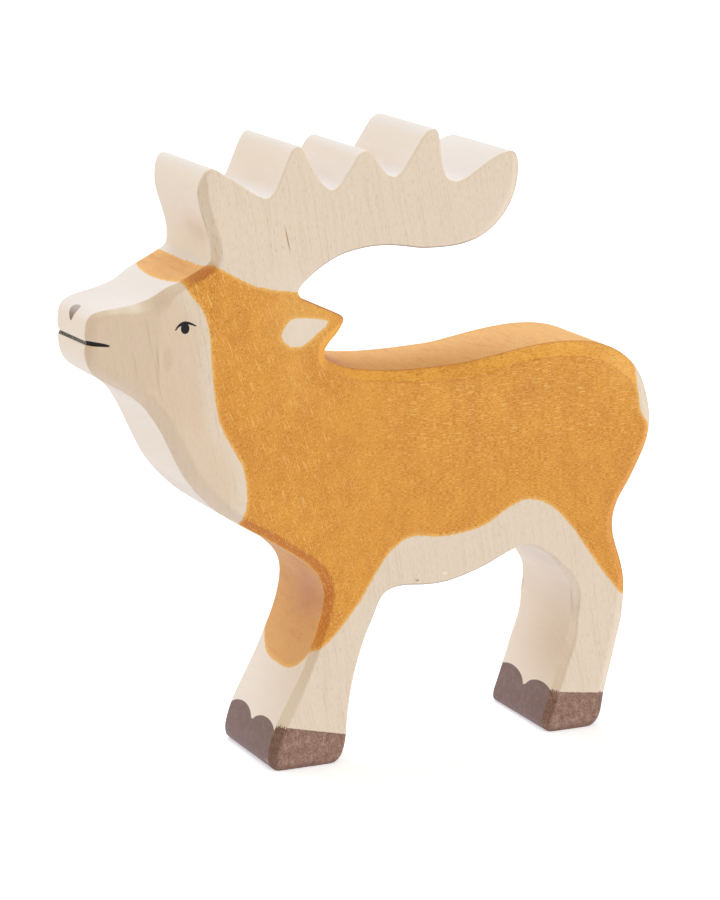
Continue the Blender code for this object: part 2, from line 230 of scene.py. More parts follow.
# Regions of the drawing for the thin line along the sawn edge: least and most x, then z
ANTLER_AREA = (-FAR, FAR, 116.0, FAR)
TINES_AREA = (-FAR, FAR, 118.0, FAR)
BELLY_AREA = (18.0, 60.0, -FAR, 55.0)
EAR_AREA = (5.0, 19.0, 105.0, 113.5)
# How strong the edge lines are: the rear line along the tines is painted shade, the chest and tine
# lines are painted highlights
BACK_LINE = 0.6
REAR_LINE = 0.8
CHEST_LIGHT = 0.7
TINES_LIGHT = 0.6

# Soft changes of tone: a place, its reach and how dark it is, below 0 where it is lighter. The
# first is painted shade, darkest on the nape under the ear's tip.
SHADES = (
    (16.0, 0.0, 95.5, 10.0, 24.0, 7.0, 1.1), (8.0, -15.0, 109.0, 17.0, 6.0, 15.0, -0.42),
    (10.0, -15.0, 93.0, 13.0, 6.0, 12.0, -0.3), (91.0, -15.0, 88.0, 9.0, 6.0, 12.0, -0.3),
    (70.0, -15.0, 86.0, 17.0, 2.5, 6.0, 0.25),
)
# The same on the sawn edge alone. The first two, on the hind leg's front under the arch, the third,
# in the corner where the fore leg meets the chest, and the last, at the top of the arch under the
# belly, are painted shade.
WALL_SHADES = (
    (78.5, -13.0, 24.0, 9.0, 18.0, 26.0, 0.20), (76.0, 2.0, 22.0, 10.0, 34.0, 32.0, 0.34),
    (12.5, -5.0, 40.0, 7.0, 16.0, 10.0, 0.65), (-13.5, -8.0, 128.5, 7.0, 14.0, 6.0, 0.42),
    (-19.5, 0.0, 120.0, 9.0, 17.0, 4.5, 0.35),
    (-14.0, 0.0, 141.0, 8.0, 24.0, 11.0, 0.14), (70.0, 0.0, 50.0, 14.0, 24.0, 12.0, 0.12),
)
# The same on the knife's chamfers alone. The darker ones are painted shade, on the forehead's bevel
# together with stain lying thicker there; the lighter ones on the muzzle's top and on the legs are
# painted light.
CUT_SHADES = (
    (-17.2, -14.0, 119.4, 6.0, 6.0, 3.4, 1.3), (-35.6, -12.0, 112.9, 2.6, 5.0, 2.0, -1.0),
    (-31.2, -12.5, 112.6, 2.4, 5.0, 2.0, -1.4), (-26.0, -13.0, 113.3, 2.4, 5.0, 2.6, 0.3),
    (79.0, -14.0, 30.0, 8.0, 6.0, 34.0, -0.8), (5.0, -14.0, 14.0, 9.0, 6.0, 20.0, -0.7),
    (80.0, -14.0, 96.0, 12.0, 6.0, 6.0, -0.2), (-42.3, -10.0, 103.0, 3.0, 6.0, 9.0, 0.3),
)
# Fine streaks and spots on the left side: both ends, half the width and how dark each is
MARKS = (
    (-27.0, 104.6, -26.4, 96.0, 0.4, 0.24), (-24.3, 103.0, -24.5, 97.6, 1.6, 0.13),
    (-32.5, 104.1, -31.0, 94.0, 0.3, 0.20), (-29.5, 111.3, -27.6, 99.5, 0.35, 0.12),
    (-27.6, 102.0, -25.9, 90.0, 0.3, 0.20), (3.5, 129.8, 5.2, 121.7, 0.26, 0.9),
    (36.8, 42.3, 37.3, 42.2, 0.40, 0.9), (43.6, 43.3, 45.0, 43.1, 0.45, -0.8),
    (-0.85, 3.2, -0.4, 0.5, 0.10, -0.45),
)

# Areas of the side that need a finer mesh, as lowest x and z and highest x and z
FINE_AREAS = ((-42.5, 102.9, -36.2, 105.8), (-23.2, 105.4, -17.0, 109.4))
FINE_GRID = 0.13
TRIANGLE_RISE = 0.866
RING_CLEAR = 0.6

# The camera, in the drawing's frame
CAMERA_PLACE = (-299.27, -721.19, 256.73)
CAMERA_AZIMUTH = -24.48
CAMERA_ELEVATION = 13.17
CAMERA_ROLL = -0.06
FOCAL_PIXELS = 3445.9
PICTURE_HEIGHT = 900
SENSOR = 36.0


def solid_ring():
    """The solid's sawn edge on the deer's right side, in order, as places on the drawing.

    Its corners are those on the right that an edge joins to the left half of the board.
    """
    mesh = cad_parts[NODE].data
    corners = [tuple(round(c / MM, 2) for c in vertex.co) for vertex in mesh.vertices]
    links = {corner: set() for corner in corners}
    for edge in mesh.edges:
        a, b = (corners[index] for index in edge.vertices)
        if a != b:
            links[a].add(b)
            links[b].add(a)
    rim = {corner for corner, others in links.items()
           if corner[1] > MIDWAY and min(other[1] for other in others) < MIDWAY}
    ring = [min(rim)]
    while True:
        onward = [c for c in sorted(links[ring[-1]]) if c in rim and c not in ring]
        if not onward:
            break
        ring.append(onward[0])
    ring = np.array(ring)[:, [0, 2]] - (TOE_X, 0.0)
    following = np.roll(ring, -1, axis=0)
    area = np.sum(ring[:, 0] * following[:, 1] - following[:, 0] * ring[:, 1])
    return ring if area < 0 else ring[::-1]


def unit(vectors):
    """Each row of an array at length one."""
    return vectors / np.maximum(np.linalg.norm(vectors, axis=-1, keepdims=True), 1e-9)


def smoothstep(low, high, values):
    """0 below low, 1 above high and a smooth rise between."""
    t = np.clip((values - low) / (high - low), 0, 1)
    return t * t * (3 - 2 * t)


def within(x, z, area):
    """Whether places lie in an area, given as least and most x, least and most z."""
    return (x > area[0]) & (x < area[1]) & (z > area[2]) & (z < area[3])


def smooth_curve(ring):
    """A dense closed curve through the ring, sharp only where the ring turns at a corner."""
    onward = np.roll(ring, -1, axis=0) - ring
    reach = np.linalg.norm(onward, axis=1)
    came = np.roll(onward, 1, axis=0)
    came_reach = np.roll(reach, 1)
    turn = np.arccos(np.clip(np.sum(unit(onward) * unit(came), axis=1), -1, 1))
    corner = turn > CORNER_TURN
    share = (came_reach / reach)[:, None]
    slope = unit(onward * share + came / share)
    leave = np.where(corner[:, None], unit(onward), slope)
    arrive = np.roll(np.where(corner[:, None], unit(came), slope), -1, axis=0)
    points = []
    for i, start in enumerate(ring):
        steps = max(2, math.ceil(reach[i] / DENSE))
        t = (np.arange(steps) / steps)[:, None]
        blend = t * t * (3 - 2 * t)
        bend = reach[i] * (leave[i] * t * (1 - t) ** 2 + arrive[i] * t * t * (t - 1))
        points.append(start + onward[i] * blend + bend)
    return np.concatenate(points)


def soften(values, width):
    """A closed row of values smoothed over the given number of steps."""
    reach = int(3 * width) + 1
    weights = np.exp(-0.5 * (np.arange(-reach, reach + 1) / width) ** 2)
    total = sum(w * np.roll(values, k, axis=0) for k, w in zip(range(-reach, reach + 1), weights))
    return total / weights.sum()


def outline():
    """Places along the outline, closer together where it turns tightly and at the mouth."""
    curve = soften(smooth_curve(solid_ring()), CORNER_SOFT / DENSE)
    curve[:, 1] = np.maximum(curve[:, 1], 0.0)
    step = np.linalg.norm(np.roll(curve, -1, axis=0) - curve, axis=1)
    along = unit(np.roll(curve, -TURN_SPAN, axis=0) - np.roll(curve, TURN_SPAN, axis=0))
    change = np.roll(along, -TURN_SPAN, axis=0) - np.roll(along, TURN_SPAN, axis=0)
    radius = 2 * TURN_SPAN * DENSE / np.maximum(np.linalg.norm(change, axis=1), 1e-4)
    wanted = np.clip(STEP_OF_RADIUS * radius, FINE, COARSE)
    at_mouth = (np.abs(curve[:, 1] - MOUTH_ACROSS[0]) < MOUTH_NEAR) & (curve[:, 0] < 0)
    wanted[at_mouth] = FINE
    wanted = soften(wanted, STEP_BLEND / DENSE)
    measure = np.concatenate([[0.0], np.cumsum(step / wanted)])
    count = round(measure[-1])
    marks = np.arange(count) * measure[-1] / count
    closed = np.concatenate([curve, curve[:1]])
    return np.stack([np.interp(marks, measure, closed[:, k]) for k in (0, 1)], axis=1)


def arc_lengths(places):
    """Distance along the outline to each place, and the whole way round."""
    step = np.linalg.norm(np.roll(places, -1, axis=0) - places, axis=1)
    return np.concatenate([[0.0], np.cumsum(step)[:-1]]), step.sum()


def knife_waver(arc, whole, seed):
    """How the knife wavers from facet to facet, from -1 to 1, in straight stretches."""
    draw = np.random.default_rng(seed)
    marks = [0.0]
    while marks[-1] < whole - KNIFE_STEP[1]:
        marks.append(marks[-1] + draw.uniform(*KNIFE_STEP))
    heights = draw.uniform(-1, 1, len(marks))
    return np.interp(arc, marks, heights, period=whole)


def cuts_along(places, side):
    """Chamfer width, chamfer depth and fall at each place of the outline."""
    arc, whole = arc_lengths(places)
    table = np.array(CUTS)
    near = [int(np.argmin(np.sum((places - row[:2]) ** 2, axis=1))) for row in table]
    order = np.argsort(arc[near])
    marks = arc[near][order]
    width, depth, fall = (np.interp(arc, marks, table[order, k], period=whole) for k in (2, 3, 4))
    carved = np.clip((width - PLAIN_CHAMFER) / FULL_CUT, 0, 1)
    seed = KNIFE_SEEDS[side]
    width = width * (1 + KNIFE_WAVER * carved * knife_waver(arc, whole, seed))
    depth = depth * (1 + KNIFE_WAVER * carved * knife_waver(arc, whole, seed + 1))
    fall = soften(fall, FALL_BLEND) if side < 0 else 0 * fall
    return soften(width, CUT_BLEND), soften(depth, CUT_BLEND), fall


def half_thickness(x, z):
    """Half of the wood's thickness, thinned along the head to the muzzle as the solid is."""
    along = np.clip(1 - (x + MUZZLE_REACH) / HEAD_REACH, 0, 1)
    up = np.clip((z - JAW_LOW) / (JAW_HIGH - JAW_LOW), 0, 1)
    share = along ** TAPER_POWER * up * up * (3 - 2 * up)
    return HALF_BOARD - (HALF_BOARD - HALF_MUZZLE) * share


def without_folds(edge, inner):
    """Moves points of an inner ring that cross over at tight turns until the ring runs on."""
    inner = inner.copy()
    onward = np.roll(edge, -1, axis=0) - edge
    for _ in range(FOLD_ROUNDS):
        gone = np.roll(inner, -1, axis=0) - inner
        folded = np.sum(gone * onward, axis=1) < FOLD_LEAST * np.sum(onward * onward, axis=1)
        if not folded.any():
            break
        moved = folded | np.roll(folded, 1)
        middle = 0.5 * (np.roll(inner, 1, axis=0) + np.roll(inner, -1, axis=0))
        inner[moved] = (1 - FOLD_PULL) * inner[moved] + FOLD_PULL * middle[moved]
    return inner


def side_rows(places, normals, side):
    """Rings from the sawn edge over the chamfer to the side, as lists of (place, depth).

    Also gives how far the edge falls and, from 0 to 1, how much of a knife cut the chamfer is.
    """
    width, depth, fall = cuts_along(places, side)
    edge = places + normals * fall[:, None]
    on_head = smoothstep(*HEAD_BACK, places[:, 0]) * smoothstep(*HEAD_TOP, places[:, 1])
    soft = np.minimum(CREASE_SOFT + HEAD_SOFT * on_head, CREASE_MOST * width)
    reach = width + soft + SUPPORT
    inner = without_folds(edge, edge + normals * reach[:, None])
    toward = (inner - edge) / reach[:, None]

    def bend_between(a, b, c):
        return 0.25 * a + 0.5 * b + 0.25 * c

    def on_from(a, b, far, most):
        way = np.linalg.norm(b - a, axis=1)
        return a + unit(b - a) * np.minimum(far, most * way)[:, None]

    low = np.stack([0 * width, depth + EDGE_SOFT], axis=1)
    corner = np.stack([0 * width, depth], axis=1)
    bulge = CHAMFER_BULGE * np.stack([width, depth], axis=1)
    crease = np.stack([width, 0 * width], axis=1)
    high = np.stack([width + soft, 0 * width], axis=1)
    into = on_from(corner, bulge, EDGE_SOFT, 0.4)
    out = on_from(crease, bulge, soft, 0.6)
    profile = [low + (0, SUPPORT), low, bend_between(low, corner, into), into,
               on_from(into, bulge, SUPPORT, 0.4), bulge, on_from(out, bulge, SUPPORT, 0.4), out,
               bend_between(out, crease, high), high, high + (SUPPORT, 0)]
    carved = np.clip(width - PLAIN_CHAMFER, 0, 1)
    return [(edge + toward * row[:, :1], row[:, 1]) for row in profile], fall, carved


def inside(points, ring):
    """Which points lie inside a closed ring."""
    hit = np.zeros(len(points), dtype=bool)
    for here, before in zip(ring, np.roll(ring, 1, axis=0)):
        spans = (here[1] > points[:, 1]) != (before[1] > points[:, 1])
        if spans.any():
            rise = (points[:, 1] - here[1]) / (before[1] - here[1] + 1e-12)
            hit ^= spans & (points[:, 0] < here[0] + rise * (before[0] - here[0]))
    return hit


def distance_to_line(points, line, closed=True):
    """Each point's distance to a line through the given places."""
    best = np.full(len(points), np.inf)
    ends = np.roll(line, -1, axis=0) if closed else line[1:]
    for a, b in zip(line, ends):
        span = b - a
        t = np.clip((points - a) @ span / max(span @ span, 1e-12), 0, 1)
        best = np.minimum(best, np.sum((points - a - t[:, None] * span) ** 2, axis=1))
    return np.sqrt(best)


def signed_distance(points, ring):
    """Distance to a closed ring, positive inside it."""
    ring = np.array(ring, dtype=float)
    distance = distance_to_line(points, ring)
    return np.where(inside(points, ring), distance, -distance)


def side_grid(ring):
    """Points spread evenly over the side, closer in the fine areas."""
    low, high = ring.min(axis=0), ring.max(axis=0)

    def triangles(low, high, step):
        across = np.arange(low[0], high[0], step)
        rows = [np.stack([across + 0.5 * step * (k % 2), np.full(len(across), z)], axis=1)
                for k, z in enumerate(np.arange(low[1], high[1], step * TRIANGLE_RISE))]
        return np.concatenate(rows)

    points = triangles(low, high, COARSE)
    for area in FINE_AREAS:
        least, most = np.array(area[:2]), np.array(area[2:])
        apart = np.max(np.abs(points - 0.5 * (least + most)) - 0.5 * (most - least), axis=1)
        points = points[apart > 0.5 * FINE_GRID]
        points = np.concatenate([points, triangles(least, most, FINE_GRID)])
    points = points[inside(points, ring)]
    clear = distance_to_line(points, ring)
    spaces = np.linalg.norm(np.roll(ring, -1, axis=0) - ring, axis=1)
    nearest = np.array([np.argmin(np.sum((ring - p) ** 2, axis=1)) for p in points])
    return points[clear > RING_CLEAR * np.maximum(spaces[nearest], FINE_GRID)]


class Surface:
    """Collects the vertices of the deer as (x, y, z) in millimetres, and its faces."""

    def __init__(self):
        self.places = []
        self.wall = []
        self.cut = []
        self.rim = []
        self.faces = []
        self.count = 0

    def add(self, place, y, wall, cut=0.0, rim=0.0):
        """Adds a row of vertices and returns their numbers."""
        self.places.append(np.stack([place[:, 0], y, place[:, 1]], axis=1))
        for values, value in ((self.wall, wall), (self.cut, cut), (self.rim, rim)):
            values.append(np.broadcast_to(value, len(place)))
        numbers = np.arange(self.count, self.count + len(place))
        self.count += len(place)
        return numbers


def rim_line(places, outward):
    """The thin line along the sawn edge: dark above 0, light below, by place and direction. The
    dark lines under the antler and the belly and along the tines' rear edges are painted shade; the
    light lines on the chest and the tines' upper flanks are painted highlights.
    """
    x, z = places.T
    out_x, out_z = outward.T
    below = smoothstep(-0.1, -0.5, out_z) * smoothstep(1.0, 4.0, z)
    bare = within(x, z, ANTLER_AREA) | within(x, z, BELLY_AREA)
    back = smoothstep(14, 22, x) * smoothstep(25, 32, z) * (z < 99) * (out_z > -0.6)
    dark = np.maximum(below * bare, BACK_LINE * back * (1 - below))
    ear = within(x, z, EAR_AREA) * smoothstep(0.2, 0.5, out_z)
    on_tines = within(x, z, TINES_AREA)
    rear = smoothstep(50, 60, x) * on_tines * smoothstep(0.0, 0.4, out_x)
    dark = np.maximum(dark, np.maximum(ear, REAR_LINE * rear))
    chest = smoothstep(16, 10, x) * smoothstep(26, 32, z) * smoothstep(63, 60, z)
    tines = on_tines * smoothstep(0.05, 0.3, out_z) * smoothstep(0.3, 0.0, out_x)
    return dark - CHEST_LIGHT * chest - TINES_LIGHT * tines


def outline_normals(places):
    """The direction into the wood at each place, level where the mouth's line crosses."""
    along = unit(np.roll(places, -1, axis=0) - np.roll(places, 1, axis=0))
    along = unit(soften(along, 1.0))
    normals = np.stack([along[:, 1], -along[:, 0]], axis=1)
    at_mouth = smoothstep(*MOUTH_LEVEL, np.abs(places[:, 1] - MOUTH_ACROSS[0]))
    at_mouth = at_mouth * (places[:, 0] < MOUTH_LEVEL_FROM)
    return unit(normals + at_mouth[:, None] * ((1.0, 0.0) - normals))


def fill_side(surface, side, ring, ring_numbers):
    """Closes a side of the board within its innermost ring."""
    flat = [Vector(p) for p in np.concatenate([ring, side_grid(ring)])]
    filled = delaunay_2d_cdt(flat, [], [list(range(len(ring)))], 1, 1e-6)
    found = np.array([tuple(p) for p in filled[0]])
    on_ring = np.array([bool(source) and source[0] < len(ring) for source in filled[3]])
    number = surface.add(found, side * half_thickness(found[:, 0], found[:, 1]), 0.0)
    number[on_ring] = [ring_numbers[source[0]] for source, on in zip(filled[3], on_ring) if on]
    turn = 1 if side < 0 else -1
    surface.faces.extend([[int(number[k]) for k in face][::turn] for face in filled[2]])


def deer_surface():
    """The closed surface of the deer."""
    places = outline()
    normals = outline_normals(places)
    rim = rim_line(places, -normals)
    surface = Surface()
    rows = {}
    faces_of = {}
    falls = {}
    for side in (-1, 1):
        rows[side], falls[side], carved = side_rows(places, normals, side)
        numbers = []
        for level, (place, depth) in enumerate(rows[side]):
            y = side * (half_thickness(place[:, 0], place[:, 1]) - depth)
            rim_share = RIM_SHARE[level] * carved + PLAIN_RIM_SHARE[level] * (1 - carved)
            numbers.append(surface.add(place, y, WALL_SHARE[level], CUT_SHARE[level] * carved,
                                       rim_share * rim))
        faces_of[side] = numbers
    left, right = rows[-1][0], rows[1][0]
    y_left = -(half_thickness(left[0][:, 0], left[0][:, 1]) - left[1])
    y_right = half_thickness(right[0][:, 0], right[0][:, 1]) - right[1]
    steps = round(2 * HALF_BOARD / ROW_STEP)
    between = []
    for step in range(1, steps):
        t = step / steps
        y = y_left + (y_right - y_left) * t
        drop = falls[-1] * (1 - t) ** FALL_POWER
        between.append(surface.add(places + normals * drop[:, None], y, 1.0))
    strips = faces_of[-1][::-1] + between + faces_of[1]
    for lower, upper in zip(strips, strips[1:]):
        quads = np.stack([lower, np.roll(lower, -1), np.roll(upper, -1), upper], axis=1)
        surface.faces.extend(quads.tolist())
    for side in (-1, 1):
        fill_side(surface, side, rows[side][-1][0], faces_of[side][-1])
    return surface


def coat_distance(x, y, z, wall):
    """Signed distance to the edge of the stained coat, positive in the stain."""
    across = np.clip(1 - (np.abs(y) / WRAP_HALF) ** WRAP_POWER, 0, 1) * wall
    lower = sum(reach * within(x, z, area) for *area, reach in COAT_WRAPS)
    forehead = smoothstep(*FOREHEAD, x) * (z > FOREHEAD_LOW)
    onward = FOREHEAD_BULGE * np.clip(1 - (y / FOREHEAD_HALF) ** 2, 0, 1) * forehead * wall
    coat = signed_distance(np.stack([x + onward, z + across * lower], axis=1), COAT)
    flat = np.stack([x, z], axis=1)
    patch = np.where(wall < 0.5, signed_distance(flat, EAR_PATCH), OUTSIDE)
    tail = signed_distance(flat, TAIL_PATCH)
    return np.minimum(coat, -np.maximum(patch, tail))


def hoof_level(x, y, wall, hoof):
    """The height of a hoof's upper edge, in two rounded lobes on the front as if cloven."""
    start, height, slope, notch, rise, lobe, front_end = hoof
    front = notch + rise * np.sqrt(np.clip(1 - ((np.abs(y) - lobe) / lobe) ** 2, 0, 1))
    return np.where((wall > 0.5) & (x < front_end), front, height + slope * (x - start))


def hoof_distance(x, y, z, wall):
    """Signed distance to the upper edge of the dark hooves, positive in the paint."""
    fore, hind = (hoof_level(x, y, wall, hoof) for hoof in (FORE_HOOF, HIND_HOOF))
    return np.where(x < BETWEEN_LEGS, fore, hind) - z


def ink_distance(x, y, z, wall):
    """Signed distance to the dark lines of the eye and the mouth."""
    flat = np.stack([x, z], axis=1)
    pupil = PUPIL[3] * (1 - np.hypot((x - PUPIL[0]) / PUPIL[2], (z - PUPIL[1]) / PUPIL[3]))
    lid = signed_distance(flat, LID) + LID_SPREAD
    eye = np.where(wall < 0.1, np.maximum(lid, pupil), OUTSIDE)
    middle = MOUTH_ACROSS[0] + MOUTH_ACROSS[1] * y
    across = np.where(x < MOUTH_FRONT, MOUTH_HALF - np.abs(z - middle), OUTSIDE)
    mouth = np.where(wall > 0.4, across, signed_distance(flat, MOUTH) + MOUTH_SPREAD)
    return np.maximum(eye, mouth)


def tone_shift(x, y, z, shades):
    """Soft changes of tone from a table, above 0 where the wood is darker; the tables hold painted
    shade and painted light besides the wood's and stain's own tone.
    """
    total = 0 * x
    for place_x, place_y, place_z, reach_x, reach_y, reach_z, amount in shades:
        apart = (((x - place_x) / reach_x) ** 2 + ((y - place_y) / reach_y) ** 2
                 + ((z - place_z) / reach_z) ** 2)
        total = total + amount * np.exp(-2.0 * apart)
    return total


def nose_distance(x, y, z, wall):
    """Signed distance to the edge of the nose mark."""
    up_nose = np.stack([y, x - NOSE_PLACE[0] + z - NOSE_PLACE[1]], axis=1)
    at_nose = within(x, z, NOSE_AREA) & (wall > 0.5)
    return np.where(at_nose, signed_distance(up_nose, NOSE), OUTSIDE)


def up_share(x, z, cut, normals):
    """How far the surface looks up, as the pale chamfers of the rump and the nape do too; it picks
    lit copies of the colours, painted light from above.
    """
    rump = smoothstep(60, 78, x) * (0.45 + 0.35 * smoothstep(64, 82, z))
    nape = 0.75 * smoothstep(8, 13, x) * smoothstep(40, 30, x) * smoothstep(88, 95, z)
    return np.maximum(smoothstep(0.15, 0.85, normals[:, 2]), cut * np.maximum(rump, nape))


def face_share(x, z, coat):
    """How much a place belongs to the bare face and throat, away from the coat's edge, where the
    wood gets painted shade and fainter grain.
    """
    height = smoothstep(56, 68, z) * smoothstep(119, 116, z)
    return smoothstep(-1.0, -4.5, coat) * smoothstep(-4, -12, x) * height


def cut_mouth(mesh, mouth):
    """Presses the mouth line into the wood along the surface's normals, and gives these."""
    normals = np.empty(3 * len(mesh.vertices))
    mesh.vertex_normals.foreach_get("vector", normals)
    places = np.empty(3 * len(mesh.vertices))
    mesh.vertices.foreach_get("co", places)
    depth = MOUTH_DEPTH * MM * smoothstep(*MOUTH_EDGE, mouth)
    normals = normals.reshape(-1, 3)
    places = places.reshape(-1, 3) - normals * depth[:, None]
    mesh.vertices.foreach_set("co", places.ravel())
    return normals


def make_deer(material):
    """The deer as one closed mesh with its painted areas, painted shade and painted light as
    attributes.
    """
    surface = deer_surface()
    used = np.zeros(surface.count, dtype=bool)
    used[[k for face in surface.faces for k in face]] = True
    renumber = np.cumsum(used) - 1
    places, wall, cut, rim = (np.concatenate(rows)[used] for rows in (
        surface.places, surface.wall, surface.cut, surface.rim))
    faces = [[int(renumber[k]) for k in face] for face in surface.faces]
    x, y, z = places.T
    mesh = bpy.data.meshes.new("carved_deer")
    row_places = np.stack([x + TOE_X, y, z], axis=1) * MM
    mesh.from_pydata(row_places.tolist(), [], faces)
    mesh.shade_smooth()
    ink = ink_distance(x, y, z, wall)
    normals = cut_mouth(mesh, np.where(x < INK_AT_MOUTH, ink, OUTSIDE))
    coat = coat_distance(x, y, z, wall)
    layers = {
        "coat": coat,
        "hoof": hoof_distance(x, y, z, wall),
        "ink": ink,
        "nose": nose_distance(x, y, z, wall),
        "wall": wall,
        "cut": cut,
        "rim": rim,
        "up": up_share(x, z, cut, normals),
        "face": face_share(x, z, coat),
        # Painted shade and painted light from the tables, with the wood's and stain's own tone, as
        # one value
        "shade": tone_shift(x, y, z, SHADES) + wall * tone_shift(x, y, z, WALL_SHADES)
        + cut * tone_shift(x, y, z, CUT_SHADES),
    }
    for name, values in layers.items():
        layer = mesh.attributes.new(name, "FLOAT", "POINT")
        layer.data.foreach_set("value", values)
    mesh.materials.append(material)
    mesh.update()
    deer = bpy.data.objects.new("carved_deer", mesh)
    bpy.context.scene.collection.objects.link(deer)
    return deer


class Paint:
    """The node tree of a material or a world, with a short call for each kind of node."""

    def __init__(self, owner, shader="Principled BSDF"):
        self.owner = owner
        owner.use_nodes = True
        self.tree = owner.node_tree
        self.shader = self.tree.nodes[shader]

    def node(self, kind, settings, inputs):
        """A node with its settings, whose inputs are values or other nodes' outputs."""
        made = self.tree.nodes.new(kind)
        for name, value in settings.items():
            setattr(made, name, value)
        for name, value in inputs.items():
            self.feed(made.inputs[name], value)
        return made

    def feed(self, socket, value):
        """Links an output to a socket, or sets the socket's value."""
        if isinstance(value, bpy.types.NodeSocket):
            self.tree.links.new(value, socket)
        else:
            socket.default_value = value

    def sum(self, kind, a, b=0.0, clamp=False):
        """A Math node."""
        return self.node("ShaderNodeMath", {"operation": kind, "use_clamp": clamp},
                         {0: a, 1: b}).outputs[0]

    def rise(self, value, low, high, start=0.0, end=1.0):
        """A smooth rise from start to end as the value goes from low to high."""
        return self.node("ShaderNodeMapRange", {"interpolation_type": "SMOOTHSTEP"},
                         {"Value": value, "From Min": low, "From Max": high,
                          "To Min": start, "To Max": end}).outputs[0]

    def mix(self, share, a, b, kind="MIX"):
        """One colour mixed into another."""
        made = self.node("ShaderNodeMix", {"data_type": "RGBA", "blend_type": kind}, {})
        self.feed(made.inputs[0], share)
        self.feed(made.inputs[6], a)
        self.feed(made.inputs[7], b)
        return made.outputs[2]

    def between(self, share, a, b):
        """One value mixed into another."""
        made = self.node("ShaderNodeMix", {"data_type": "FLOAT"}, {})
        self.feed(made.inputs[0], share)
        self.feed(made.inputs[2], a)
        self.feed(made.inputs[3], b)
        return made.outputs[0]

    def stretched(self, place, scale):
        """Coordinates multiplied along each axis."""
        return self.node("ShaderNodeVectorMath", {"operation": "MULTIPLY"},
                         {0: place, 1: scale}).outputs[0]

    def turned(self, place, angle, centre=(0.0, 0.0, 0.0)):
        """Coordinates turned in the plane of the side view."""
        return self.node("ShaderNodeVectorRotate", {"rotation_type": "Y_AXIS"},
                         {"Vector": place, "Center": centre, "Angle": angle}).outputs[0]

    def parts(self, place):
        """The x, y and z of coordinates."""
        return self.node("ShaderNodeSeparateXYZ", {}, {0: place}).outputs

    def faded(self, value, share):
        """One, less a share of the value."""
        return self.sum("SUBTRACT", 1.0, self.sum("MULTIPLY", value, share))

    def noise(self, place, detail=3.0, rough=0.55):
        """Noise from about 0 to 1 with its middle at a half."""
        return self.node("ShaderNodeTexNoise", {"noise_dimensions": "3D"},
                         {"Vector": place, "Scale": 1.0, "Detail": detail,
                          "Roughness": rough}).outputs[0]

    def layer(self, name):
        """A value kept on the mesh."""
        return self.node("ShaderNodeAttribute", {"attribute_name": name}, {}).outputs["Fac"]


# Colours
MAPLE = (0.81, 0.665, 0.53, 1.0)
MAPLE_PINK = (0.82, 0.655, 0.54, 1.0)
MAPLE_DARK = (0.60, 0.44, 0.28, 1.0)
MAPLE_PALE = (0.90, 0.79, 0.68, 1.0)
# Painted shade: bare chamfers that don't look up are darker and warmer
MAPLE_CUT_SHADE = (0.78, 0.62, 0.485, 1.0)
MAPLE_WALL = (0.85, 0.73, 0.63, 1.0)
# Painted light from above: bare walls that look up take this lit copy
MAPLE_LIT_TOP = (0.825, 0.74, 0.705, 1.0)
# Painted shade along the under-edges and the tines' rear edges, then a painted highlight along
# bright edges
MAPLE_RIM_SHADE = (0.50, 0.43, 0.37, 1.0)
MAPLE_HIGHLIGHT = (0.95, 0.86, 0.77, 1.0)
# Painted shade, multiplied into the bare face and throat
FACE_SHADE = (0.955, 0.905, 0.85, 1.0)
STAIN = (0.80, 0.338, 0.044, 1.0)
STAIN_DARK = (0.53, 0.17, 0.018, 1.0)
STAIN_PALE = (0.93, 0.55, 0.165, 1.0)
STAIN_CUT = (0.635, 0.175, 0.027, 1.0)
# Painted light from above: chamfers in the coat that look up take this lit copy
STAIN_CUT_LIT_TOP = (1.0, 0.505, 0.07, 1.0)
STAIN_WALL = (0.70, 0.37, 0.147, 1.0)
# Painted light from above: walls in the coat that look up take this lit copy
STAIN_LIT_TOP = (0.835, 0.46, 0.172, 1.0)
STAIN_EDGE = (0.50, 0.15, 0.04, 1.0)
STAIN_SMEAR = (0.60, 0.27, 0.10, 1.0)
# In the coat, painted shade and darker tone from the shade tables multiply towards this
STAIN_SHADED = (0.78, 0.64, 0.92, 1.0)
HOOF = (0.28, 0.15, 0.11, 1.0)
HOOF_DARK = (0.15, 0.07, 0.05, 1.0)
HOOF_PALE = (0.47, 0.32, 0.255, 1.0)
HOOF_CUT = (0.19, 0.10, 0.075, 1.0)
HOOF_WALL = (0.200, 0.124, 0.118, 1.0)
INK = (0.012, 0.009, 0.011, 1.0)
# The nose mark is grey where it looks up and dark where it faces forward: a lit and a shaded copy,
# painted light from above
NOSE_LIT_GREY = (0.46, 0.39, 0.36, 1.0)
NOSE_DARK = (0.20, 0.125, 0.10, 1.0)
# On bare wood, painted shade and darker tone from the shade tables multiply towards this
SHADED = (0.73, 0.60, 0.43, 1.0)
MARKED = (0.58, 0.38, 0.27, 1.0)
# The floor's colours, how much it glows and, in metres, how far it reaches
FLOOR_WHITE = (0.98, 0.98, 0.98, 1.0)
FLOOR_LIGHT = (0.80, 0.86, 1.0, 1.0)
FLOOR_GLOW = 0.475
FLOOR_REACH = 6.0

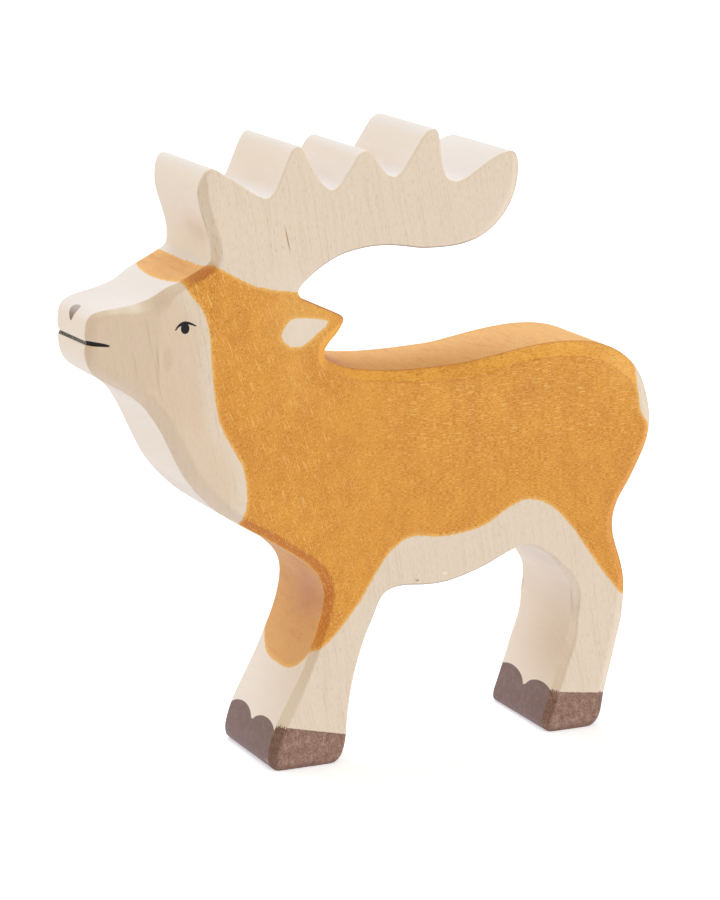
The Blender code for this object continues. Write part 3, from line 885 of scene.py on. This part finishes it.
# Noises of the wood and the paint, in waves a millimetre along, through and up the board
CLOUD = (0.22, 0.12, 0.07)
LINE = (1.9, 0.04, 0.07)
PORE = (4.6, 3.0, 0.7)
STREAK = (7.5, 4.2, 1.7)
SCRATCH = (3.0, 2.6, 0.26)
FLECK = (1.2, 3.0, 6.2)
THREAD = (0.34, 2.6, 4.0)
DRIFT = (0.34, 0.3, 0.26)
SMEAR = (0.9, 0.13, 0.8)
BLOT = (3.0, 3.0, 2.2)
PATCH = (0.75, 0.6, 0.55)
BEND = (0.05, 0.05, 0.03)
FRAY = (0.9, 0.9, 0.9)
HAIR = (3.2, 3.2, 0.5)
# How far the grain bends and how steeply it and the streaks lie
BEND_REACH = (6.0, 0.0, 0.0)
GRAIN_TILT = math.radians(10)
STREAK_TILT = math.radians(20)
# Where along x the stain's streaks give way to flecks and threads, and between which heights the
# threads come up to their full strength
STREAKS_END = (5.0, 48.0)
THREADS_FROM = (58.0, 82.0)
STREAK_CONTRAST = 1.35
# How near the left side the fine marks lie
MARK_PLACE_Y = -14.0
MARK_REACH_Y = 5.0
GRAIN_DEPTH = 0.12 * MM


def wood_marks(paint, place):
    """How strongly the fine marks darken and lighten the wood at a place."""
    sums = {1: 0.0, -1: 0.0}
    for start_x, start_z, end_x, end_z, half, amount in MARKS:
        run_x, run_z = end_x - start_x, end_z - start_z
        centre = (0.5 * (start_x + end_x) + TOE_X, MARK_PLACE_Y, 0.5 * (start_z + end_z))
        turned = paint.turned(place, -math.atan2(run_x, run_z), centre)
        apart = paint.node("ShaderNodeVectorMath", {"operation": "SUBTRACT"},
                           {0: turned, 1: centre}).outputs[0]
        long = 0.5 * math.hypot(run_x, run_z) + half
        apart = paint.stretched(apart, (1 / half, 1 / MARK_REACH_Y, 1 / long))
        reach = paint.node("ShaderNodeVectorMath", {"operation": "LENGTH"}, {0: apart})
        share = paint.rise(reach.outputs["Value"], 1.0, 0.3, 0.0, abs(amount))
        sign = 1 if amount > 0 else -1
        sums[sign] = paint.sum("ADD", share, sums[sign], clamp=True)
    return sums[1], sums[-1]


def bare_wood(paint, grain, layers):
    """The maple's colour and its fine grain, with painted shade on the face, the throat, the
    chamfers and the under-edges, and painted light on walls that look up and on bright edges.
    """
    cloud = paint.noise(paint.stretched(grain, CLOUD), 2.0)
    line = paint.noise(paint.stretched(grain, LINE), 4.0, 0.6)
    pore = paint.noise(paint.stretched(grain, PORE), 2.0, 0.6)
    on_side = paint.faded(layers["wall"], 0.8)
    on_side = paint.sum("MULTIPLY", on_side, paint.faded(layers["face"], 0.45))
    bare = paint.mix(paint.rise(cloud, 0.35, 0.65, 0.0, 0.6), MAPLE, MAPLE_PINK)
    # Painted shade: the bare face and throat are darkened
    bare = paint.mix(layers["face"], bare, FACE_SHADE, "MULTIPLY")
    # Painted shade on bare chamfers that don't look up; chamfers that look up keep the plain maple
    in_cut = paint.mix(layers["up"], MAPLE_CUT_SHADE, MAPLE)
    bare = paint.mix(paint.sum("MULTIPLY", layers["cut"], 0.8), bare, in_cut)
    # Painted light from above: bare walls that look up take a lit copy of the maple
    bare = paint.mix(layers["wall"], bare, paint.mix(layers["up"], MAPLE_WALL, MAPLE_LIT_TOP))
    tone = paint.sum("MULTIPLY", paint.rise(line, 0.45, 0.8, 0.0, 0.34), on_side)
    fine = paint.sum("MULTIPLY", paint.rise(pore, 0.54, 0.70, 0.0, 0.46), on_side)
    bare = paint.mix(paint.sum("ADD", tone, fine), bare, MAPLE_DARK)
    pale = paint.sum("MULTIPLY", paint.rise(pore, 0.50, 0.30, 0.0, 0.20), on_side)
    bare = paint.mix(pale, bare, MAPLE_PALE)
    # Painted shade: the dark lines under the antler and the belly and along the tines' rear edges
    rim = paint.rise(layers["rim"], 0.15, 0.9, 0.0, 0.9)
    bare = paint.mix(rim, bare, MAPLE_RIM_SHADE, "MULTIPLY")
    # Painted highlight: the light lines on the chest and the tines' upper flanks
    bare = paint.mix(paint.rise(layers["rim"], -0.1, -0.7, 0.0, 0.9), bare, MAPLE_HIGHLIGHT)
    return bare, cloud, line, pore


def stained_wood(paint, place, layers, cloud, line):
    """The stain's colour: streaky on the neck, flecked on the rump, pale at its edge, with lit
    copies painted where it looks up and painted highlight lines along some edges.
    """
    slant = paint.turned(place, STREAK_TILT)
    streak = paint.noise(paint.stretched(slant, STREAK), 3.0, 0.7)
    scratch = paint.noise(paint.stretched(slant, SCRATCH), 2.0, 0.5)
    fleck = paint.noise(paint.stretched(place, FLECK), 3.0, 0.75)
    thread = paint.noise(paint.stretched(place, THREAD), 2.0, 0.5)
    drift = paint.noise(paint.stretched(place, DRIFT), 2.0, 0.6)
    x, _, z = paint.parts(place)
    behind = paint.rise(x, STREAKS_END[0] + TOE_X, STREAKS_END[1] + TOE_X)
    speck = paint.sum("SUBTRACT", paint.between(behind, streak, fleck), 0.5)
    blended = paint.sum("MULTIPLY", behind, paint.faded(behind, 1.0))
    stronger = paint.sum("ADD", paint.sum("MULTIPLY", blended, 1.2), STREAK_CONTRAST)
    speck = paint.sum("ADD", paint.sum("MULTIPLY", speck, stronger), 0.5)
    on_side = paint.faded(layers["wall"], 0.7)
    on_side = paint.sum("MULTIPLY", on_side, paint.faded(layers["cut"], 0.2))
    # Painted light from above: chamfers and walls in the coat that look up take lit copies of the
    # stain
    stain = paint.mix(layers["cut"], STAIN, paint.mix(layers["up"], STAIN_CUT, STAIN_CUT_LIT_TOP))
    stain = paint.mix(layers["wall"], stain, paint.mix(layers["up"], STAIN_WALL, STAIN_LIT_TOP))
    deep = paint.sum("ADD", paint.rise(cloud, 0.3, 0.7, 0.0, 0.20),
                     paint.rise(line, 0.4, 0.8, 0.0, 0.12))
    deep = paint.sum("ADD", deep, paint.rise(drift, 0.35, 0.65, 0.0, 0.20))
    deep = paint.sum("MULTIPLY", deep, on_side)
    spots = paint.sum("MULTIPLY", paint.rise(speck, 0.49, 0.70, 0.0, 0.9), on_side)
    stain = paint.mix(paint.sum("ADD", deep, spots, clamp=True), stain, STAIN_DARK)
    pale = paint.sum("MULTIPLY", paint.rise(speck, 0.50, 0.30, 0.0, 0.75), on_side)
    stain = paint.mix(pale, stain, STAIN_PALE)
    threads = paint.sum("MULTIPLY", paint.rise(thread, 0.545, 0.665, 0.0, 0.75),
                        paint.rise(z, THREADS_FROM[0], THREADS_FROM[1], 0.3, 1.0))
    scratches = paint.between(behind, paint.rise(scratch, 0.56, 0.68, 0.0, 0.60), threads)
    stain = paint.mix(paint.sum("MULTIPLY", scratches, on_side), stain, STAIN_PALE)
    smear = paint.noise(paint.stretched(place, SMEAR), 3.0, 0.6)
    smear = paint.sum("MULTIPLY", paint.rise(smear, 0.50, 0.72, 0.0, 0.40), layers["wall"])
    stain = paint.mix(smear, stain, STAIN_SMEAR)
    fringe = paint.sum("MULTIPLY", paint.sum("SUBTRACT", speck, 0.5), 2.4)
    fringe = paint.rise(paint.sum("ADD", layers["coat"], fringe), 1.0, 0.1, 0.0, 0.60)
    stain = paint.mix(fringe, stain, STAIN_PALE)
    stain = paint.mix(paint.rise(layers["rim"], 0.1, 0.9), stain, STAIN_EDGE)
    # Painted highlight: the light edge lines within the coat
    return paint.mix(paint.rise(layers["rim"], -0.1, -0.7, 0.0, 0.7), stain, STAIN_PALE)


def horn(paint, place, grain, layers):
    """The dark, mottled paint of the hooves, darker at the sole as painted shade by the floor."""
    blot = paint.noise(paint.stretched(grain, BLOT), 5.0, 0.8)
    base = paint.mix(layers["cut"], HOOF, HOOF_CUT)
    base = paint.mix(layers["wall"], base, HOOF_WALL)
    much = paint.between(layers["wall"], paint.between(layers["cut"], 1.0, 0.4), 0.22)
    pale = paint.sum("MULTIPLY", paint.rise(blot, 0.50, 0.63), much)
    colour = paint.mix(pale, base, HOOF_PALE)
    dark = paint.sum("MULTIPLY", paint.rise(blot, 0.47, 0.36), much)
    colour = paint.mix(dark, colour, HOOF_DARK)
    patch = paint.noise(paint.stretched(grain, PATCH), 2.0, 0.6)
    pale = paint.sum("MULTIPLY", paint.rise(patch, 0.50, 0.70, 0.0, 0.5), much)
    colour = paint.mix(pale, colour, HOOF_PALE)
    dark = paint.sum("MULTIPLY", paint.rise(patch, 0.48, 0.32, 0.0, 0.5), much)
    colour = paint.mix(dark, colour, HOOF_DARK)
    # Painted shade: the hooves darken towards the sole, by the floor
    sole_shade = paint.rise(paint.parts(place)[2], 1.6, 0.2, 0.0, 0.7)
    return paint.mix(sole_shade, colour, HOOF_DARK)


def wood_material():
    """Bare maple with its grain, the translucent stain over it, dark hooves and ink lines, with
    painted shade and painted light mixed into the colour.
    """
    paint = Paint(bpy.data.materials.new("maple"))
    local = paint.node("ShaderNodeTexCoord", {}, {}).outputs["Object"]
    place = paint.stretched(local, (1 / MM, 1 / MM, 1 / MM))
    grain = paint.turned(place, GRAIN_TILT)
    bend = paint.noise(paint.stretched(grain, BEND), 1.0)
    grain = paint.node("ShaderNodeVectorMath", {"operation": "MULTIPLY_ADD"},
                       {0: bend, 1: BEND_REACH, 2: grain}).outputs[0]
    layers = {name: paint.layer(name) for name in (
        "coat", "hoof", "ink", "nose", "wall", "cut", "rim", "up", "face", "shade")}

    bare, cloud, line, pore = bare_wood(paint, grain, layers)
    stain = stained_wood(paint, place, layers, cloud, line)
    fray = paint.noise(paint.stretched(grain, FRAY), 4.0)
    fray = paint.sum("MULTIPLY", paint.sum("SUBTRACT", fray, 0.5), 0.6)
    in_coat = paint.rise(paint.sum("ADD", layers["coat"], fray), -0.09, 0.09)
    colour = paint.mix(in_coat, bare, stain)
    # The shade tables: painted shade and darker tone multiply in, painted light and paler tone mix
    # in below
    shaded = paint.mix(in_coat, SHADED, STAIN_SHADED)
    colour = paint.mix(paint.rise(layers["shade"], 0.0, 1.0), colour, shaded, "MULTIPLY")
    pale = paint.mix(in_coat, MAPLE_PALE, STAIN_PALE)
    lighter = paint.sum("MULTIPLY", paint.rise(layers["shade"], 0.0, -1.0, 0.0, 0.9),
                        paint.rise(pore, 0.35, 0.6, 0.6, 1.0))
    colour = paint.mix(lighter, colour, pale)

    hair = paint.noise(paint.stretched(grain, HAIR), 2.0)
    hair = paint.sum("MULTIPLY", paint.sum("SUBTRACT", hair, 0.5),
                     paint.rise(layers["cut"], 0.2, 0.8, 0.3, 3.0))
    in_hoof = paint.rise(paint.sum("ADD", layers["hoof"], hair), -0.10, 0.10)
    colour = paint.mix(in_hoof, colour, horn(paint, place, grain, layers))
    darker, lighter = wood_marks(paint, place)
    colour = paint.mix(darker, colour, MARKED, "MULTIPLY")
    colour = paint.mix(lighter, colour, MAPLE_PALE)
    # Painted light: the nose mark turns grey where it looks up
    nose = paint.mix(layers["up"], NOSE_DARK, NOSE_LIT_GREY)
    colour = paint.mix(paint.rise(layers["nose"], -0.10, 0.15, 0.0, 0.95), colour, nose)
    worn = paint.rise(pore, 0.35, 0.65, 0.75, 1.0)
    worn = paint.between(layers["wall"], 1.0, worn)
    in_ink = paint.sum("MULTIPLY", paint.rise(layers["ink"], -0.07, 0.07), worn)
    colour = paint.mix(in_ink, colour, INK)

    paint.feed(paint.shader.inputs["Base Color"], colour)
    paint.feed(paint.shader.inputs["Roughness"], paint.rise(line, 0.3, 0.8, 0.50, 0.66))
    paint.shader.inputs["Specular IOR Level"].default_value = 0.25
    height = paint.sum("ADD", paint.sum("MULTIPLY", pore, 0.6), paint.sum("MULTIPLY", line, 0.5))
    bump = paint.node("ShaderNodeBump", {},
                      {"Height": height, "Strength": 0.22, "Distance": GRAIN_DEPTH})
    paint.feed(paint.shader.inputs["Normal"], bump.outputs[0])
    return paint.owner


def make_floor():
    """A plain white floor."""
    mesh = bpy.data.meshes.new("floor")
    turns = ((-1, -1), (1, -1), (1, 1), (-1, 1))
    corners = [(FLOOR_REACH * x, FLOOR_REACH * y, 0) for x, y in turns]
    mesh.from_pydata(corners, [], [(0, 1, 2, 3)])
    floor = bpy.data.objects.new("floor", mesh)
    bpy.context.scene.collection.objects.link(floor)
    paint = Paint(bpy.data.materials.new("white_floor"))
    paint.shader.inputs["Base Color"].default_value = FLOOR_WHITE
    paint.shader.inputs["Roughness"].default_value = 0.9
    paint.shader.inputs["Specular IOR Level"].default_value = 0.0
    paint.shader.inputs["Emission Color"].default_value = FLOOR_LIGHT
    paint.shader.inputs["Emission Strength"].default_value = FLOOR_GLOW
    mesh.materials.append(paint.owner)
    floor.visible_diffuse = False
    floor.visible_glossy = False


def toward(azimuth, elevation):
    """The direction from the deer towards a point at this azimuth and elevation, in degrees."""
    azimuth, elevation = math.radians(azimuth), math.radians(elevation)
    level = math.cos(elevation)
    return Vector((math.sin(azimuth) * level, -math.cos(azimuth) * level, math.sin(elevation)))


def make_camera():
    """The camera at the photograph's angle."""
    data = bpy.data.cameras.new("camera")
    data.sensor_width = SENSOR
    data.lens = FOCAL_PIXELS / PICTURE_HEIGHT * SENSOR
    camera = bpy.data.objects.new("camera", data)
    x, y, z = CAMERA_PLACE
    camera.location = ((x + TOE_X) * MM, y * MM, z * MM)
    level = toward(CAMERA_AZIMUTH, CAMERA_ELEVATION).to_track_quat("Z", "Y")
    camera.rotation_mode = "QUATERNION"
    camera.rotation_quaternion = level @ Quaternion((0, 0, 1), math.radians(CAMERA_ROLL))
    bpy.context.scene.collection.objects.link(camera)
    bpy.context.scene.camera = camera


# Lights: name, azimuth, elevation, strength, angle across, colour
LIGHTS = (
    ("right_light", 60.0, 15.0, 1.25, 40.0, (0.72, 0.86, 1.0)),
    ("left_light", -130.0, 20.0, 0.4, 40.0, (1.0, 1.0, 1.0)),
    ("top_light", 180.0, 65.0, 2.08, 40.0, (0.59, 0.76, 1.0)),
)
ABOVE = (0.65, 0.575, 0.40, 1.0)
BELOW = (1.07, 1.12, 1.20, 1.0)


def make_lights():
    """Wide soft lights from the right front, the left and above, and an even pale surround."""
    for name, azimuth, elevation, strength, across, colour in LIGHTS:
        data = bpy.data.lights.new(name, "SUN")
        data.energy = strength
        data.angle = math.radians(across)
        data.color = colour
        light = bpy.data.objects.new(name, data)
        light.rotation_mode = "QUATERNION"
        light.rotation_quaternion = toward(azimuth, elevation).to_track_quat("Z", "Y")
        bpy.context.scene.collection.objects.link(light)
    sky = Paint(bpy.data.worlds.new("pale_surround"), "Background")
    way = sky.node("ShaderNodeTexCoord", {}, {}).outputs["Generated"]
    over = sky.rise(sky.parts(way)[2], -0.1, 0.1)
    sky.feed(sky.shader.inputs["Color"], sky.mix(over, BELOW, ABOVE))
    bpy.context.scene.world = sky.owner
    bpy.context.scene.view_settings.view_transform = "Standard"


make_camera()
make_lights()
make_floor()
deer = make_deer(wood_material())
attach(deer, "root")
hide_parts(NODE)
